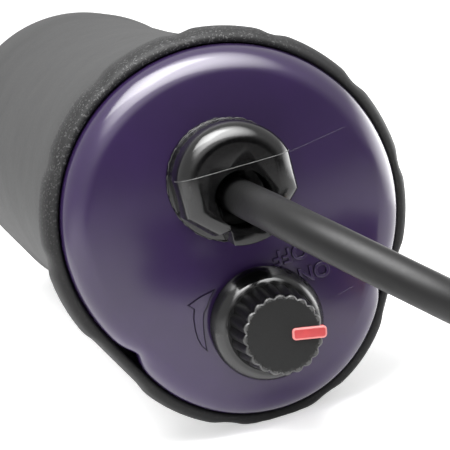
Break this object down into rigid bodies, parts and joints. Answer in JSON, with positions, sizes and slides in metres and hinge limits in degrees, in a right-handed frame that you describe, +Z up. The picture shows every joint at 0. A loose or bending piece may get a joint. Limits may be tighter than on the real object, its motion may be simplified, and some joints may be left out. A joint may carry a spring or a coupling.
{
  "type": "violet ray machine",
  "caption": "Hand-held violet ray handpiece: rubber-sleeved body, domed violet end cap with cord gland and output knob, tapered nose with electrode socket, mains cord in a hank.",
  "frame": {"origin": "under the middle of the handpiece, on the surface it lies on, measured without the cord", "axes": "+Y along the handpiece towards the electrode socket in the nose, +Z up, the knob and end cap face -Y"},
  "size_m": [0.08, 0.4822, 0.0636],
  "materials": {
    "violet_plastic": "deep violet pearl moulding, gloss",
    "sleeve_rubber": "matt moulded rubber",
    "gloss_black": "moulded black nylon, gloss",
    "pointer_red": "moulded red insert",
    "nose_black": "moulded black phenolic, satin",
    "cord_pvc": "extruded grey-black sheath, satin",
    "tie_strap": "woven hook strap",
    "plug_pvc": "moulded soft black",
    "brass": "turned brass",
    "housing_plastic": "moulded ABS",
    "steel": "zinc-plated steel",
    "soft_iron": "annealed iron",
    "contact_silver": "silver-faced contact",
    "carrier_nylon": "moulded natural nylon",
    "copper_winding": "enamelled copper wire",
    "phenolic_board": "phenolic paper laminate",
    "capacitor_case": "dipped film capacitor",
    "lead_sheath": "insulated wire"
  },
  "bodies": {
    "handpiece": {"end_cap": "violet_plastic", "grip_sleeve": "sleeve_rubber", "nose_seal": "sleeve_rubber", "gland_upper": "gloss_black", "gland_lower": "gloss_black", "nose_cone": "nose_black", "power_cord": "cord_pvc", "cord_hank": "cord_pvc", "cord_tail": "cord_pvc", "cord_tie": "tie_strap", "plug_body": "plug_pvc", "plug_pins": "brass", "spindle_bush": "brass", "bush_nut": "brass", "electrode_socket": "brass", "contact_button": "brass", "housing_left": "housing_plastic", "housing_right": "housing_plastic", "housing_screws": "steel", "cap_screws": "steel", "bush_washer": "steel", "control_frame": "steel", "reed_clamp": "steel", "reed_screws": "steel", "yoke_screws": "steel", "yoke": "soft_iron", "magnet_core": "soft_iron", "bobbin": "carrier_nylon", "terminal_block": "carrier_nylon", "magnet_winding": "copper_winding", "primary_winding": "copper_winding", "secondary_winding": "copper_winding", "chassis_board": "phenolic_board", "cheek_rear": "phenolic_board", "cheek_front": "phenolic_board", "coil_former": "phenolic_board", "capacitor": "capacitor_case", "supply_leads": "lead_sheath", "coil_leads": "lead_sheath", "hv_lead": "lead_sheath"},
    "knob": {"knob_body": "gloss_black", "knob_pointer": "pointer_red", "spindle": "steel", "retaining_clip": "steel"},
    "carrier": {"contact_carrier": "carrier_nylon", "fixed_contact": "contact_silver"},
    "striker": {"reed": "steel", "armature": "soft_iron", "moving_contact": "contact_silver"}
  },
  "joints": [
    {"name": "knob_turn", "type": "hinge", "parent": "handpiece", "child": "knob", "pos_m": [0, -0.11535, 0.0172], "axis": [0, -1, 0], "range_deg": [-217, 68]},
    {"name": "contact_advance", "type": "slide", "parent": "handpiece", "child": "carrier", "axis": [0, 1, 0], "range_m": [-0.00013222, 0.00042194]},
    {"name": "armature_swing", "type": "hinge", "parent": "handpiece", "child": "striker", "pos_m": [0, -0.07658, 0.0494], "axis": [1, 0, 0], "range_deg": [0, 1.4], "stiffness_Nm_per_rad": 0.05, "springref_deg": -1.15}
  ],
  "couplings": [
    {"joint": "knob_turn", "follows": "contact_advance", "rad_per_m": -8976}
  ]
}
